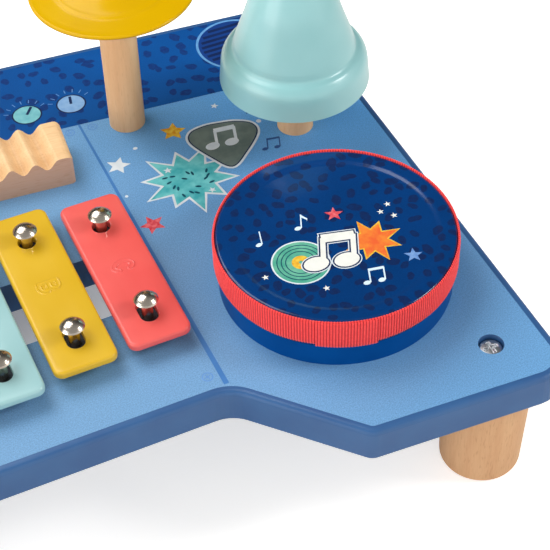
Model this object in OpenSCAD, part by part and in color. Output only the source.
// Musical activity table: a low board on four legs that carries an eight-bar
// xylophone, a scraper, a drum, a cymbal and a bell.
// Millimetres, +Z up. The origin is on the floor, under the middle of the board.

/* [Board] */
// Thickness of the board
board_t = 15; // [12:1:20]
// Height of the board's top above the floor
top_z = 63; // [50:1:120]
// Half of the board's width
half_w = 232; // [222:1:250]
// Depth of the board, from the wings' foremost edge to the back
board_d = 264; // [256:1:280]
// How far the edge of the middle lies behind the wings' foremost edge
middle_setback = 43.6; // [36:0.2:48]
// Distance from the last bar to the line where the wing begins
wing_gap = 2.95; // [1.5:0.05:5]
// Angle between the slanting edge of a wing and the front
slant_deg = 47; // [40:1:55]
// Fall of a wing's front edge towards its side
wing_fall = 3.4; // [0:0.2:5]
// Fall of the back edge from the middle towards each side
back_fall = 5.5; // [2:0.1:7]
// Radius of the board's outer corners
corner_r = 12; // [6:1:16]
// Radius of the corner between a slanting edge and a wing's front edge
knee_r = 6; // [3:1:10]
// Radius of the inside corner where a wing begins
inner_r = 14; // [8:1:20]
// Radius of the bend at the middle of the back edge
back_r = 250; // [100:10:400]
// Rounding of the board's top edge
edge_r = 2; // [1:0.5:3]

/* [Legs] */
// Diameter of a leg under the board
leg_top_d = 34.4; // [28:0.2:38]
// Diameter of a leg at the floor
leg_foot_d = 31.4; // [26:0.2:36]
// Distance from a leg's axis to the board's edges
leg_inset = 22; // [21:0.1:26]
// Diameter of the leg screws' heads
leg_head_d = 9; // [8:0.5:10]
// Diameter of the leg screws' threads
leg_screw_d = 5; // [4:0.5:6]
// Length of the leg screws under their heads
leg_screw_l = 28; // [24:1:36]
// Depth of the leg screws' heads below the board's top
leg_head_sink = 1.6; // [1:0.2:3]

/* [Xylophone] */
// Gap between neighbouring bars
bar_gap = 4.5; // [4:0.1:5]
// Thickness of a bar with its coating
bar_t = 3.2; // [2.4:0.2:4]
// Length of the shortest bar
bar_short = 80; // [74:1:84]
// Length that each bar has more than the one on its right
bar_step = 5; // [3:0.5:5.5]
// Corner radius of a bar
bar_corner = 3.6; // [2:0.2:6]
// Distance from a bar's far end to its round hole
hole_inset = 16.4; // [14:0.1:18]
// Distance from a bar's near end to the middle of its long hole
slot_inset = 14.8; // [13:0.1:18]
// Width of the holes in a bar
bar_hole_d = 7; // [6:0.5:8]
// Extra length of the hole near the child
bar_slot_extra = 4.2; // [2:0.2:5]
// Middle of the bars, measured from the board's middle
bars_y = -21.8; // [-25:0.2:-19]
// Height of the felt rings that the bars lie on
felt_h = 5.6; // [4:0.2:8]
// Diameter of the felt rings
felt_d = 10.4; // [10:0.2:12]
// Diameter of the pins' heads
pin_head_d = 9.2; // [8.4:0.2:10]
// Diameter of the pins
pin_d = 4.4; // [3:0.2:5]
// Free height between a bar and the pins' heads
bar_play = 5.6; // [2:0.2:7]
// Width of the sound slot under the bars
slot_w = 32; // [26:0.2:33]
// Distance from the bars' middle to the slot's middle, towards the back
slot_shift = 1.6; // [0:0.2:2]

/* [Scraper] */
// Distance from one ridge to the next
ridge_pitch = 9.7; // [8:0.1:11]
// Number of ridges
ridge_n = 9; // [5:1:10]
// Height of the scraper
scraper_h = 14.2; // [13:0.2:20]
// Depth of the valleys
valley_d = 4.1; // [3:0.1:5]
// Width of the scraper
scraper_w = 23.6; // [20:0.2:25]
// Angle between the ridges and the scraper's ends
ridge_skew = 4.5; // [0:0.5:6]
// Distance from the board's back edge to the scraper
scraper_back = 60.8; // [58:0.2:64]

/* [Drum] */
// Diameter of the drum over its ribbon
drum_d = 92; // [80:1:96]
// Height of the drum
drum_h = 23.6; // [20:0.2:40]
// Thickness of the drum's wooden wall
drum_wall = 6; // [5:0.5:8]
// Width of the ribbon
ribbon_w = 12; // [8:0.5:16]
// Thickness of the ribbon
ribbon_t = 0.9; // [0.6:0.1:1.2]
// Clearance between the last bar and the drum
drum_clear = 15.45; // [14:0.05:18]
// Distance from the drum's middle to the board's side
drum_side = 58; // [54:1:60]
// Distance from the drum's middle to the board's middle, towards the child
drum_front = 53.9; // [48:0.1:58]

/* [Cymbal and bell] */
// Diameter of the two posts
post_d = 15; // [12:0.5:18]
// Depth of the posts' sockets in the board
socket_depth = 7; // [4:0.5:8]
// Distance from the cymbal's post to the board's side
cymbal_side = 97.2; // [94:0.2:102]
// Distance from the cymbal's post to the board's middle, towards the back
cymbal_y = 65.2; // [60:0.2:70]
// Diameter of the cymbal
cymbal_d = 66; // [56:0.2:68]
// Height of the cymbal's rim above the board
cymbal_h = 68.9; // [60:0.1:100]
// Height of the cymbal's dome above its rim
dome_h = 8.8; // [7:0.2:12]
// Distance from the bell's post to the board's side
bell_side = 34.5; // [32:0.1:38]
// Distance from the bell's post to the board's middle, towards the back
bell_y = 32.6; // [28:0.2:38]
// Diameter of the bell's rim
bell_d = 60.8; // [50:0.2:62]
// Height of the bell
bell_h = 50.2; // [40:0.1:60]
// Height of the bell's rim above the board
bell_lift = 26.7; // [20:0.1:40]
// Thickness of the bell's metal
bell_wall = 1.2; // [1:0.1:2]

/* [Hidden] */
fit_gap = 0.1;       // between wood and what is glued, driven or screwed into it
run_gap = 0.05;      // between a screw and the hole that turns on it
rest_gap = 0.25;     // under a piece that lies loose on another
arc_n = 7;           // steps in a rounded corner
round_n = 4;         // steps in a rounded edge

board_z = top_z - board_t;
front_y = -board_d / 2;
back_y = board_d / 2;
middle_y = front_y + middle_setback;

// the bars share the width between the board's middle and the drum
bar_n = 8;
bar_reach = half_w - drum_side - drum_d / 2 - drum_clear;
bar_pitch = (2 * bar_reach + bar_gap) / bar_n;
bar_w = bar_pitch - bar_gap;
wing_x = bar_reach + wing_gap;

// sharp corners of the outline, before they are rounded
wing_corner = [half_w - corner_r, front_y + corner_r];
wing_normal = [-sin(wing_fall), -cos(wing_fall)];
wing_c = wing_normal * wing_corner + corner_r;
function wing_y(x) = -(wing_c + sin(wing_fall) * x) / cos(wing_fall);
back_apex = back_y - back_r + back_r / cos(back_fall);
function rear_y(x) = back_apex - abs(x) * tan(back_fall);
knee_x = (middle_y - wing_y(0) + wing_x * tan(slant_deg))
       / (tan(slant_deg) - tan(wing_fall));
right_side = [[wing_x, middle_y], [knee_x, wing_y(knee_x)],
              [half_w, wing_y(half_w)], [half_w, rear_y(half_w)]];
left_side = [for (i = [3:-1:0]) [-right_side[i][0], right_side[i][1]]];
board_pts = concat(right_side, [[0, back_apex]], left_side);
board_radii = [inner_r, knee_r, corner_r, corner_r, back_r,
               corner_r, corner_r, knee_r, inner_r];

// The board's flat faces cut into convex parts, as numbers of outline points:
// right wing, right inside corner, middle, left inside corner, left wing.
bend_i = 4 * (arc_n + 1);
bend_j = bend_i + arc_n;
last_i = 9 * (arc_n + 1) - 1;
board_caps = concat(
    [[for (k = [arc_n:bend_i]) k]],
    [for (k = [0:arc_n - 1]) [k, k + 1, bend_i]],
    [concat([last_i, 0], [for (k = [bend_i:bend_j]) k])],
    [for (k = [last_i - arc_n:last_i - 1]) [k, k + 1, bend_j]],
    [[for (k = [bend_j:last_i - arc_n]) k]]);

// legs
leg_x = half_w - leg_inset;
leg_front_y = wing_y(leg_x) + leg_inset;
leg_back_y = rear_y(leg_x) - leg_inset;
leg_head_h = 2.6;
leg_hole_d = leg_head_d + 0.6;
insert_d = 8;
insert_l = 14;
insert_z = board_z - 2 - insert_l;

// xylophone
bar_z = top_z + felt_h + rest_gap;
pin_head_z = bar_z + bar_t + bar_play;
pin_depth = 10;
bar_first_x = -bar_pitch * (bar_n - 1) / 2;
function bar_x(i) = bar_first_x + bar_pitch * i;
function bar_len(i) = bar_short + bar_step * (bar_n - 1 - i);
// how far the pins of each bar, driven by hand, stand off the common line
bar_stray = [0.3, -0.4, 0.5, -0.2, 0.4, 0, 1.3, -0.4];
function bar_y(i) = bars_y + bar_stray[i];
function hole_y(i) = bar_len(i) / 2 - hole_inset;
function slot_y(i) = slot_inset - bar_len(i) / 2;
slot_end_x = bar_x(bar_n - 1) + 3;

// scraper
crest_end = 5.95;
crest_r = 3;
scraper_edge_r = 2;
scraper_l = 2 * crest_end + ridge_pitch * (ridge_n - 1);
scraper_right_x = wing_x - 12.8;

// screws driven up from under the board
under_head_d = 7;
under_head_h = 2.4;
under_sink = 3;
under_d = 3.5;
under_l = 20;

// drum
drum_x = half_w - drum_side;
shell_r = drum_d / 2 - ribbon_t - 0.6;
skin_t = 0.5;
skin_r = shell_r + fit_gap + skin_t;
drum_screw_r = shell_r - drum_wall / 2;
lap_deg = -125;
lap_sweep = 28;

// cymbal and bell
cymbal_x = half_w - cymbal_side;
bell_x = half_w - bell_side;
metal_t = 1;
washer_t = 1.5;
washer_d = 13;
spindle_d = 4;
spindle_l = 16;
crown_z = top_z + cymbal_h + dome_h - metal_t;
cymbal_post_top = crown_z - rest_gap - washer_t;
bell_top_z = top_z + bell_lift + bell_h;
bell_crown_z = bell_top_z - bell_wall;
bell_post_top = bell_crown_z - rest_gap - washer_t;
socket_z = top_z - socket_depth;

// colours
blue = "#44659A";
beech = "#D9B48C";
coral = "#E8554F";
yellow = "#EDB91A";
mint = "#9FD3D2";
chrome = "#C9CCD0";
felt = "#3A3D44";
navy = "#12408E";
brass = "#B5A15A";

// ---- shapes that repeat ----

function unit(v) = v / norm(v);
function left_of(u) = [-u[1], u[0]];
function spot(c, r, a) = c + r * [cos(a), sin(a)];

// One corner of a counter-clockwise outline: an arc of radius r, after the
// whole outline has been drawn inwards by d.
function corner_arc(a, b, c, r, d) =
    let (u = unit(b - a), v = unit(c - b),
         m = (left_of(u) + left_of(v)) / (1 + u * v),
         turn = sign(u[0] * v[1] - u[1] * v[0]),
         rr = max(r - turn * d, 0.05),
         mid = b + d * m + turn * rr * m,
         start = -turn * left_of(u),
         a0 = atan2(start[1], start[0]),
         sweep = turn * acos(min(1, u * v)))
    [for (k = [0:arc_n]) spot(mid, rr, a0 + sweep * k / arc_n)];

function rounded(pts, radii, d) =
    let (n = len(pts))
    [for (i = [0:n - 1])
        each corner_arc(pts[(i + n - 1) % n], pts[i], pts[(i + 1) % n], radii[i], d)];

// Insets and heights of the rings that make a slab with rounded edges.
function slab_rings(h, r_low, r_top) =
    concat([for (k = [0:round_n]) let (a = 90 * k / round_n)
                [r_low * (1 - sin(a)), r_low * (1 - cos(a))]],
           [for (k = [0:round_n]) let (a = 90 * k / round_n)
                [r_top * (1 - cos(a)), h - r_top * (1 - sin(a))]]);

// A slab on a rounded outline, with both of its edges rounded over. Its flat
// faces are made of the convex parts in caps.
module soft_slab(pts, radii, caps, h, r_low, r_top) {
    rings = slab_rings(h, r_low, r_top);
    n = len(pts) * (arc_n + 1);
    last = len(rings) - 1;
    points = [for (q = rings) for (p = rounded(pts, radii, q[0])) [p[0], p[1], q[1]]];
    sides = [for (k = [0:last - 1]) for (j = [0:n - 1])
                let (m = (j + 1) % n)
                [k * n + j, (k + 1) * n + j, (k + 1) * n + m, k * n + m]];
    top_caps = [for (cap = caps) [for (j = [len(cap) - 1:-1:0]) last * n + cap[j]]];
    polyhedron(points, concat(sides, caps, top_caps), convexity = 6);
}

// A smooth curve through the points of a profile.
function curve_at(a, b, c, d, t) =
    0.5 * (2 * b + (c - a) * t + (2 * a - 5 * b + 4 * c - d) * t * t
           + (3 * b - a - 3 * c + d) * t * t * t);
function curve(pts, steps) =
    let (n = len(pts))
    concat([for (i = [0:n - 2]) for (k = [0:steps - 1])
                curve_at(pts[max(i - 1, 0)], pts[i], pts[i + 1],
                         pts[min(i + 2, n - 1)], k / steps)],
           [pts[n - 1]]);
// The same curve moved sideways by t, which gives sheet metal its inner face.
function beside(pts, t) =
    let (n = len(pts))
    [for (i = [0:n - 1])
        let (u = unit(pts[min(i + 1, n - 1)] - pts[max(i - 1, 0)]))
        pts[i] + t * left_of(u)];

// Spins a sheet-metal profile, given from the middle outwards.
module spun_sheet(profile, t) {
    inner = beside(profile, -t);
    n = len(profile);
    rotate_extrude($fn = 96)
        polygon(concat(profile, [for (i = [n - 1:-1:0]) inner[i]]));
}

// A round-headed screw: its head stands on z = 0 and its shank points down.
module screw(head_d, head_h, d, l) {
    rise = (head_d * head_d / 4 + head_h * head_h) / (2 * head_h);
    top_a = asin(head_d / 2 / rise);
    difference() {
        union() {
            rotate_extrude($fn = 40)
                polygon(concat([[0, 0], [head_d / 2, 0]],
                    [for (k = [1:5]) let (a = top_a * (1 - k / 5))
                        [rise * sin(a), head_h - rise * (1 - cos(a))]]));
            translate([0, 0, 1.4 * d / 2 - l])
                cylinder(h = l - 1.4 * d / 2, d = d, $fn = 32);
            translate([0, 0, -l])
                cylinder(h = 1.4 * d / 2, d1 = 0.8, d2 = d, $fn = 32);
        }
        for (a = [0, 90])
            rotate(a)
                translate([0, 0, head_h])
                    cube([0.55 * head_d, 0.13 * head_d, 1.2 * head_h], center = true);
    }
}

// A ring of felt, nylon or steel around a pin or a screw.
module ring(d, bore, h) {
    difference() {
        cylinder(h = h, d = d, $fn = 48);
        translate([0, 0, -1])
            cylinder(h = h + 2, d = bore, $fn = 32);
    }
}

// ---- places that several sub-parts share ----

module at_legs() {
    for (side = [-1, 1])
        for (y = [leg_front_y, leg_back_y])
            translate([side * leg_x, y, 0])
                children();
}

module at_pins() {
    for (i = [0:bar_n - 1])
        for (y = [slot_y(i), hole_y(i)])
            translate([bar_x(i), bar_y(i) + y, 0])
                children();
}

// The scraper's own frame: X along the back edge, Y = 0 on its front face.
module at_scraper() {
    reach = (scraper_back + scraper_w) / cos(back_fall);
    translate([scraper_right_x, rear_y(scraper_right_x) - reach, top_z])
        rotate(-back_fall)
            translate([-scraper_l, 0, 0])
                children();
}

module at_drum_screws() {
    for (a = [30, 150, 270])
        translate([drum_x, -drum_front, 0])
            translate([drum_screw_r * cos(a), drum_screw_r * sin(a), 0])
                children();
}

module at_under_screws() {
    translate([cymbal_x, cymbal_y, 0])
        children();
    translate([bell_x, bell_y, 0])
        children();
    at_drum_screws()
        children();
    at_scraper()
        for (u = [scraper_l / 5, scraper_l * 4 / 5])
            translate([u, scraper_w / 2, -top_z])
                children();
}

// The hole that an underside screw cuts in whatever is above the board.
module pilot() {
    translate([0, 0, board_z + under_sink - 1])
        cylinder(h = under_l + 2, d = under_d + 2 * fit_gap, $fn = 32);
}

// ---- board and legs ----

module table_board() {
    color(blue)
        difference() {
            translate([0, 0, board_z])
                soft_slab(board_pts, board_radii, board_caps, board_t, 1, edge_r);
            // sound slot under the bars
            translate([-slot_end_x, bars_y + slot_shift - slot_w / 2, board_z - 1])
                cube([2 * slot_end_x, slot_w, board_t + 2]);
            // leg screws, with their heads sunk in the top
            at_legs() {
                translate([0, 0, board_z - 1])
                    cylinder(h = board_t + 2, d = leg_screw_d + 0.6, $fn = 40);
                translate([0, 0, top_z - leg_head_sink - leg_head_h])
                    cylinder(h = board_t, d = leg_hole_d, $fn = 48);
            }
            // screws from below
            at_under_screws() {
                translate([0, 0, board_z - 1])
                    cylinder(h = board_t + 2, d = under_d + 2 * fit_gap, $fn = 32);
                translate([0, 0, board_z - 1])
                    cylinder(h = 1 + under_sink, d = under_head_d + 1, $fn = 40);
            }
            // sockets of the two posts
            for (p = [[cymbal_x, cymbal_y], [bell_x, bell_y]])
                translate([p[0], p[1], socket_z])
                    cylinder(h = board_t, d = post_d + 2 * fit_gap, $fn = 64);
            // holes for the bars' pins
            at_pins()
                translate([0, 0, top_z - pin_depth])
                    cylinder(h = board_t, d = pin_d + 2 * fit_gap, $fn = 32);
        }
}

// A turned leg: a slight taper, a rounded foot and a bore for its insert.
module leg() {
    r_top = leg_top_d / 2;
    r_foot = leg_foot_d / 2;
    soft = 2;
    color(beech)
        difference() {
            rotate_extrude($fn = 64)
                polygon(concat([[0, 0]],
                    [for (k = [0:6]) let (a = 90 * k / 6)
                        [r_foot - soft * (1 - sin(a)), soft * (1 - cos(a))]],
                    [[r_top, board_z], [0, board_z]]));
            translate([0, 0, insert_z])
                cylinder(h = board_z, d = insert_d + 2 * fit_gap, $fn = 48);
            translate([0, 0, insert_z - 8])
                cylinder(h = board_z, d = leg_screw_d + 2 * fit_gap, $fn = 32);
        }
}

module leg_front_left() {
    translate([-leg_x, leg_front_y, 0])
        leg();
}

module leg_front_right() {
    translate([leg_x, leg_front_y, 0])
        leg();
}

module leg_back_left() {
    translate([-leg_x, leg_back_y, 0])
        leg();
}

module leg_back_right() {
    translate([leg_x, leg_back_y, 0])
        leg();
}

module leg_screws() {
    color(chrome)
        at_legs()
            translate([0, 0, top_z - leg_head_sink - leg_head_h])
                screw(leg_head_d, leg_head_h, leg_screw_d, leg_screw_l);
}

// Threaded inserts that the leg screws hold to.
module leg_inserts() {
    color(brass)
        at_legs()
            translate([0, 0, insert_z])
                ring(insert_d, leg_screw_d + 2 * run_gap, insert_l);
}

module underside_screws() {
    color(chrome)
        at_under_screws()
            translate([0, 0, board_z + under_sink])
                mirror([0, 0, 1])
                    screw(under_head_d, under_head_h, under_d, under_l);
}

// ---- xylophone ----

// One bar, numbered from the lowest note, with its round and its long hole.
module bar(i) {
    l = bar_len(i);
    w = bar_w / 2;
    box = [[w, -l / 2], [w, l / 2], [-w, l / 2], [-w, -l / 2]];
    whole = [[for (k = [0:4 * (arc_n + 1) - 1]) k]];
    bar_colours = [coral, yellow, mint];
    color(bar_colours[(bar_n - 1 - i) % 3])
        translate([bar_x(i), bar_y(i), bar_z])
            difference() {
                soft_slab(box, [for (k = [0:3]) bar_corner], whole, bar_t, 0.6, 1.2);
                translate([0, hole_y(i), -1])
                    cylinder(h = bar_t + 2, d = bar_hole_d, $fn = 40);
                for (s = [-1, 1])
                    translate([0, slot_y(i) + s * bar_slot_extra / 2, -1])
                        cylinder(h = bar_t + 2, d = bar_hole_d, $fn = 40);
                translate([-bar_hole_d / 2, slot_y(i) - bar_slot_extra / 2, -1])
                    cube([bar_hole_d, bar_slot_extra, bar_t + 2]);
            }
}

module bar_c_low() bar(0);
module bar_d() bar(1);
module bar_e() bar(2);
module bar_f() bar(3);
module bar_g() bar(4);
module bar_a() bar(5);
module bar_b() bar(6);
module bar_c_high() bar(7);

// Steel pins with low domed heads, driven into the board.
module bar_pins() {
    r = pin_head_d / 2;
    rim = 0.35;
    dome = 0.5 * r;
    ball = (r * r + dome * dome) / (2 * dome);
    edge_a = asin(r / ball);
    color(chrome)
        at_pins() {
            translate([0, 0, top_z - pin_depth])
                cylinder(h = pin_head_z - top_z + pin_depth, d = pin_d, $fn = 32);
            translate([0, 0, pin_head_z])
                rotate_extrude($fn = 48)
                    polygon(concat([[0, 0], [r - rim, 0]],
                        [for (k = [0:8]) let (a = edge_a * (1 - k / 8))
                            [ball * sin(a), rim + dome - ball * (1 - cos(a))]]));
        }
}

// Felt rings round the pins, which let the bars sound.
module bar_felts() {
    color(felt)
        at_pins()
            translate([0, 0, top_z])
                ring(felt_d, pin_d + 2 * fit_gap, felt_h);
}

// ---- scraper ----

// Side view: a wave of ridges between two broader, rounded end crests.
function scraper_top(x) =
    scraper_h - valley_d * (1 - cos(360 * (x - crest_end) / ridge_pitch)) / 2;
ridge_steps = 10 * (ridge_n - 1);
scraper_wave = concat(
    [[-5, -1], [-5, scraper_h]],
    [for (k = [0:ridge_steps]) let (x = crest_end + ridge_pitch * k / 10)
        [x, scraper_top(x)]],
    [[scraper_l + 5, scraper_h], [scraper_l + 5, -1]]);
// The same view of the block before its ridges are cut.
scraper_blank = concat(
    [[0, 0]],
    [for (k = [0:4]) let (a = 180 - 90 * k / 4)
        [crest_r + crest_r * cos(a), scraper_h - crest_r + crest_r * sin(a)]],
    [for (k = [0:4]) let (a = 90 - 90 * k / 4)
        [scraper_l - crest_r + crest_r * cos(a), scraper_h - crest_r + crest_r * sin(a)]],
    [[scraper_l, 0]]);

module scraper() {
    l = scraper_l;
    w = scraper_w;
    plan = rounded([[0, 0], [l, 0], [l, w], [0, w]],
                   [for (k = [0:3]) scraper_edge_r], 0);
    color(beech)
        difference() {
            at_scraper()
                intersection() {
                    translate([0, w, 0])
                        rotate([90, 0, 0])
                            linear_extrude(w)
                                polygon(scraper_blank);
                    rotate(ridge_skew)
                        translate([0, 1.5 * w, 0])
                            rotate([90, 0, 0])
                                linear_extrude(2.5 * w)
                                    polygon(scraper_wave);
                    linear_extrude(scraper_h + 1)
                        polygon(plan);
                }
            at_under_screws()
                pilot();
        }
}

// ---- drum ----

module drum_shell() {
    color(navy)
        difference() {
            translate([drum_x, -drum_front, top_z])
                ring(2 * shell_r, 2 * (shell_r - drum_wall), drum_h - skin_t - fit_gap);
            at_under_screws()
                pilot();
        }
}

// The skin: stretched over the shell, turned down its side, and a little
// lower inside the wall.
module drum_head() {
    bend = 1.4;
    sag = 0.35;
    r_in = shell_r - drum_wall;
    skirt = drum_h - ribbon_w - 1;
    outer = concat([[0, drum_h - sag], [r_in - 3, drum_h - sag], [r_in, drum_h]],
        [for (k = [0:5]) let (a = 90 - 90 * k / 5)
            [skin_r - bend + bend * cos(a), drum_h - bend + bend * sin(a)]],
        [[skin_r, skirt]]);
    under = drum_h - skin_t;
    color(navy)
        translate([drum_x, -drum_front, top_z])
            rotate_extrude($fn = 128)
                polygon(concat(outer,
                    [[skin_r - skin_t, skirt], [skin_r - skin_t, under],
                     [r_in - 0.2, under], [r_in - 3, under - sag],
                     [0, under - sag]]));
}

// A grosgrain ribbon round the skin's edge, with its end lapped over.
module drum_ribbon() {
    r0 = skin_r + fit_gap / 2;
    z0 = drum_h - ribbon_w + 0.2;
    color(coral)
        translate([drum_x, -drum_front, top_z + z0]) {
            ring(2 * (r0 + ribbon_t), 2 * r0, ribbon_w);
            rotate(lap_deg)
                rotate_extrude(angle = lap_sweep, $fn = 128)
                    translate([r0 + ribbon_t - 0.2, 0.3])
                        square([0.6, ribbon_w - 0.6]);
        }
}

// ---- cymbal and bell ----

module post(x, y, z_top) {
    color(beech)
        difference() {
            translate([x, y, socket_z])
                cylinder(h = z_top - socket_z, d = post_d, $fn = 64);
            at_under_screws()
                pilot();
            translate([x, y, z_top - spindle_l])
                cylinder(h = spindle_l + 1, d = spindle_d + 2 * fit_gap, $fn = 32);
        }
}

module cymbal_post() {
    post(cymbal_x, cymbal_y, cymbal_post_top);
}

module cymbal_felt() {
    color(felt)
        translate([cymbal_x, cymbal_y, cymbal_post_top])
            ring(washer_d, spindle_d + 2 * run_gap, washer_t);
}

// A shallow plate with a domed middle and a thin turned-down rim.
module cymbal_plate() {
    r = cymbal_d / 2;
    bore = spindle_d / 2 + run_gap;
    dome_r = 0.62 * r;
    base = cymbal_h;
    profile = concat([[bore, base + dome_h]],
        curve([[0.22 * r, base + dome_h], [0.36 * r, base + 0.8 * dome_h],
               [0.52 * r, base + 0.4 * dome_h], [dome_r, base + 1.9],
               [0.72 * r, base + 1.5], [0.95 * r, base + 0.7],
               [r - 0.2, base - 0.1], [r, base - 0.9]], 5));
    color(yellow)
        translate([cymbal_x, cymbal_y, top_z])
            spun_sheet(profile, metal_t);
}

module cymbal_washer() {
    color(chrome)
        translate([cymbal_x, cymbal_y, crown_z + metal_t + rest_gap])
            ring(washer_d - 3, spindle_d + 2 * run_gap, 1);
}

module cymbal_screw() {
    color(chrome)
        translate([cymbal_x, cymbal_y, crown_z + metal_t + rest_gap + 1])
            screw(8, 3, spindle_d, spindle_l);
}

module bell_post() {
    post(bell_x, bell_y, bell_post_top);
}

module bell_felt() {
    color(felt)
        translate([bell_x, bell_y, bell_post_top])
            ring(washer_d, spindle_d + 2 * run_gap, washer_t);
}

// Crown, sloping wall, a waist, and a rim that swells and flares.
module bell_shell() {
    r = bell_d / 2;
    h = bell_h;
    bore = spindle_d / 2 + run_gap;
    profile = concat([[bore, h]],
        curve([[0.296 * r, h], [0.351 * r, 0.988 * h], [0.416 * r, 0.93 * h],
               [0.56 * r, 0.763 * h], [0.669 * r, 0.574 * h],
               [0.778 * r, 0.385 * h], [0.798 * r, 0.341 * h],
               [0.819 * r, 0.3 * h], [0.9 * r, 0.266 * h],
               [0.966 * r, 0.2 * h], [0.988 * r, 0.08 * h], [r, 0]], 5));
    color(mint)
        translate([bell_x, bell_y, top_z + bell_lift])
            spun_sheet(profile, bell_wall);
}

module bell_washer() {
    color(chrome)
        translate([bell_x, bell_y, bell_top_z + rest_gap])
            ring(washer_d - 3, spindle_d + 2 * run_gap, 1);
}

module bell_screw() {
    color(chrome)
        translate([bell_x, bell_y, bell_top_z + rest_gap + 1])
            screw(8, 3, spindle_d, spindle_l);
}

table_board();
leg_front_left();
leg_front_right();
leg_back_left();
leg_back_right();
leg_screws();
leg_inserts();
underside_screws();
bar_c_low();
bar_d();
bar_e();
bar_f();
bar_g();
bar_a();
bar_b();
bar_c_high();
bar_pins();
bar_felts();
scraper();
drum_shell();
drum_head();
drum_ribbon();
cymbal_post();
cymbal_felt();
cymbal_plate();
cymbal_washer();
cymbal_screw();
bell_post();
bell_felt();
bell_shell();
bell_washer();
bell_screw();
